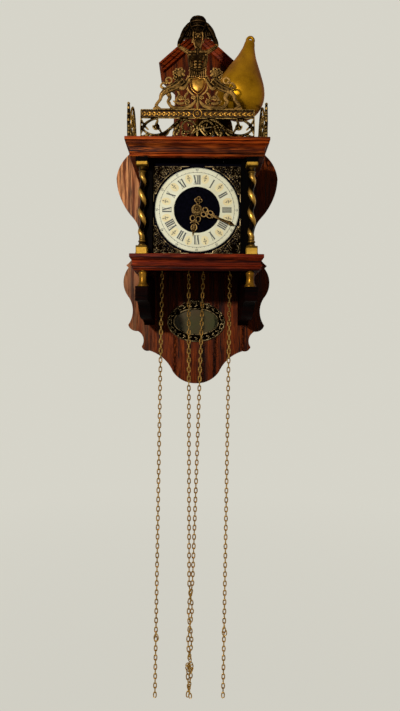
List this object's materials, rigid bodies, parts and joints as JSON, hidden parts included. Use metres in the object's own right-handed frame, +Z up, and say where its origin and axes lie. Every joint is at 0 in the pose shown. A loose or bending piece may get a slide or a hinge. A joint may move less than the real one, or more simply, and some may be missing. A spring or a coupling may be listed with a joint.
{
  "type": "zaandam wall clock",
  "caption": "Weight-driven wall clock: moulded case on a shaped backboard, with brass gallery and crest, twisted columns, side doors, striking movement, chains and a pear weight.",
  "frame": {"origin": "centre of the hanger hole at the wall plane", "axes": "+Y into the wall, +Z up, the dial faces -Y"},
  "size_m": [0.308, 0.204, 1.2239],
  "materials": {
    "oak": "stained and waxed oak with open vertical grain",
    "dark_wood": "near-black stained wood",
    "cast_brass": "antiqued cast brass with rubbed high spots",
    "bright_brass": "turned brass, lightly tarnished",
    "weight_brass": "spun brass shell, olive gold",
    "chain_brass": "drawn brass wire",
    "movement_brass": "machined brass",
    "steel": "plain steel",
    "dial_black": "black velvet on the dial plate",
    "dial_enamel": "cream painted ring with grey numerals",
    "glass": "old clear glass"
  },
  "bodies": {
    "case": {"backboard": "oak", "gable_mouldings": "oak", "wall_battens": "oak", "hanger_plate": "steel", "cornice": "oak", "roof_board": "oak", "base_moulding": "oak", "seat_board": "oak", "case_posts": "dark_wood", "twisted_columns": "cast_brass", "column_blocks": "bright_brass", "bracket_arms": "oak", "brass_feet": "bright_brass", "dial_plate": "dial_black", "chapter_ring": "dial_enamel", "dial_corners": "cast_brass", "movement_front_plate": "movement_brass", "movement_back_plate": "movement_brass", "plate_pillars": "movement_brass", "pendulum_cock": "steel", "bell": "cast_brass", "bell_post": "steel", "window_frame": "cast_brass", "window_glass": "glass", "gallery_front": "cast_brass", "side_galleries": "cast_brass", "crest": "cast_brass", "atlas_figure": "cast_brass", "globe": "cast_brass"},
    "minute_hand": {"minute_hand": "bright_brass", "centre_arbor": "movement_brass", "centre_wheel": "movement_brass"},
    "hour_hand": {"hour_hand": "bright_brass", "hour_wheel": "movement_brass"},
    "minute_wheel": {"minute_wheel": "movement_brass"},
    "time_great_wheel": {"time_great_wheel": "movement_brass"},
    "third_wheel": {"third_wheel": "movement_brass"},
    "escape_wheel": {"escape_wheel": "movement_brass"},
    "anchor": {"anchor": "steel"},
    "pendulum": {"pendulum_rod": "steel", "pendulum_bob": "bright_brass"},
    "strike_great_wheel": {"strike_great_wheel": "movement_brass"},
    "pin_wheel": {"pin_wheel": "movement_brass"},
    "fly": {"fly": "steel"},
    "hammer": {"hammer": "steel"},
    "inner_chains": {"time_chain_inner": "chain_brass", "strike_chain_inner": "chain_brass", "chain_knot": "chain_brass"},
    "time_chain_outer": {"time_chain_outer": "chain_brass"},
    "strike_chain_outer": {"strike_chain_outer": "chain_brass"},
    "time_sprocket": {"time_sprocket": "movement_brass", "time_chain_wrap": "chain_brass"},
    "strike_sprocket": {"strike_sprocket": "movement_brass", "strike_chain_wrap": "chain_brass"},
    "left_door": {"left_door": "oak", "left_door_glass": "glass"},
    "right_door": {"right_door": "oak", "right_door_glass": "glass"},
    "pear_weight": {"pear_weight": "weight_brass"}
  },
  "joints": [
    {"name": "minute_hand_turn", "type": "hinge", "parent": "case", "child": "minute_hand", "pos_m": [0, -0.15, -0.1255], "axis": [0, 1, 0], "continuous": true},
    {"name": "hour_hand_turn", "type": "hinge", "parent": "case", "child": "hour_hand", "pos_m": [0, -0.15, -0.1255], "axis": [0, 1, 0], "continuous": true},
    {"name": "minute_wheel_turn", "type": "hinge", "parent": "case", "child": "minute_wheel", "pos_m": [0, -0.14, -0.1447], "axis": [0, 1, 0], "continuous": true},
    {"name": "time_great_wheel_turn", "type": "hinge", "parent": "case", "child": "time_great_wheel", "pos_m": [-0.0369, -0.124, -0.142], "axis": [0, 1, 0], "continuous": true},
    {"name": "third_wheel_turn", "type": "hinge", "parent": "case", "child": "third_wheel", "pos_m": [-0.0171, -0.1, -0.1064], "axis": [0, 1, 0], "continuous": true},
    {"name": "escape_wheel_turn", "type": "hinge", "parent": "case", "child": "escape_wheel", "pos_m": [0, -0.1, -0.08787], "axis": [0, 1, 0], "continuous": true},
    {"name": "pendulum_swing", "type": "hinge", "parent": "case", "child": "pendulum", "pos_m": [0, -0.013, -0.07], "axis": [0, 1, 0], "range_deg": [-4, 4]},
    {"name": "anchor_rock", "type": "hinge", "parent": "case", "child": "anchor", "pos_m": [0, -0.085, -0.07], "axis": [0, 1, 0], "range_deg": [-4, 4]},
    {"name": "strike_great_wheel_turn", "type": "hinge", "parent": "case", "child": "strike_great_wheel", "pos_m": [0.0369, -0.082, -0.142], "axis": [0, 1, 0], "continuous": true},
    {"name": "pin_wheel_turn", "type": "hinge", "parent": "case", "child": "pin_wheel", "pos_m": [0.04, -0.075, -0.10977], "axis": [0, 1, 0], "continuous": true},
    {"name": "fly_turn", "type": "hinge", "parent": "case", "child": "fly", "pos_m": [0.052, -0.1, -0.09582], "axis": [0, 1, 0], "continuous": true},
    {"name": "hammer_lift", "type": "hinge", "parent": "case", "child": "hammer", "pos_m": [0.046, -0.1, -0.078], "axis": [0, 1, 0], "range_deg": [-5, 3.4]},
    {"name": "inner_chains_run", "type": "slide", "parent": "case", "child": "inner_chains", "axis": [0, 0, 1], "range_m": [-0.0083, 0.0083]},
    {"name": "time_chain_outer_run", "type": "slide", "parent": "case", "child": "time_chain_outer", "axis": [0, 0, 1], "range_m": [-0.0083, 0.0083]},
    {"name": "strike_chain_outer_run", "type": "slide", "parent": "case", "child": "strike_chain_outer", "axis": [0, 0, 1], "range_m": [-0.0083, 0.0083]},
    {"name": "time_sprocket_turn", "type": "hinge", "parent": "case", "child": "time_sprocket", "pos_m": [-0.0369, -0.102, -0.142], "axis": [0, 1, 0], "range_deg": [-20, 20]},
    {"name": "strike_sprocket_turn", "type": "hinge", "parent": "case", "child": "strike_sprocket", "pos_m": [0.0369, -0.102, -0.142], "axis": [0, 1, 0], "range_deg": [-20, 20]},
    {"name": "left_door_swing", "type": "hinge", "parent": "case", "child": "left_door", "pos_m": [-0.0888, -0.051, -0.124], "axis": [0, 0, 1], "range_deg": [-85, 0]},
    {"name": "right_door_swing", "type": "hinge", "parent": "case", "child": "right_door", "pos_m": [0.0888, -0.051, -0.124], "axis": [0, 0, 1], "range_deg": [0, 85]},
    {"name": "pear_weight_lift", "type": "slide", "parent": "case", "child": "pear_weight", "axis": [0, 0, 1], "range_m": [0, 0.06]}
  ],
  "couplings": [
    {"joint": "hour_hand_turn", "follows": "minute_hand_turn", "ratio": 0.083333},
    {"joint": "minute_wheel_turn", "follows": "minute_hand_turn", "ratio": -0.33333},
    {"joint": "time_great_wheel_turn", "follows": "minute_hand_turn", "ratio": -0.16667},
    {"joint": "third_wheel_turn", "follows": "minute_hand_turn", "ratio": -10},
    {"joint": "escape_wheel_turn", "follows": "minute_hand_turn", "ratio": 100},
    {"joint": "anchor_rock", "follows": "pendulum_swing", "ratio": 1},
    {"joint": "pin_wheel_turn", "follows": "strike_great_wheel_turn", "ratio": -8},
    {"joint": "fly_turn", "follows": "strike_great_wheel_turn", "ratio": 48},
    {"joint": "time_chain_outer_run", "follows": "inner_chains_run", "ratio": -1},
    {"joint": "strike_chain_outer_run", "follows": "inner_chains_run", "ratio": -1},
    {"joint": "time_sprocket_turn", "follows": "inner_chains_run", "rad_per_m": -41.843},
    {"joint": "strike_sprocket_turn", "follows": "inner_chains_run", "rad_per_m": 41.843}
  ]
}
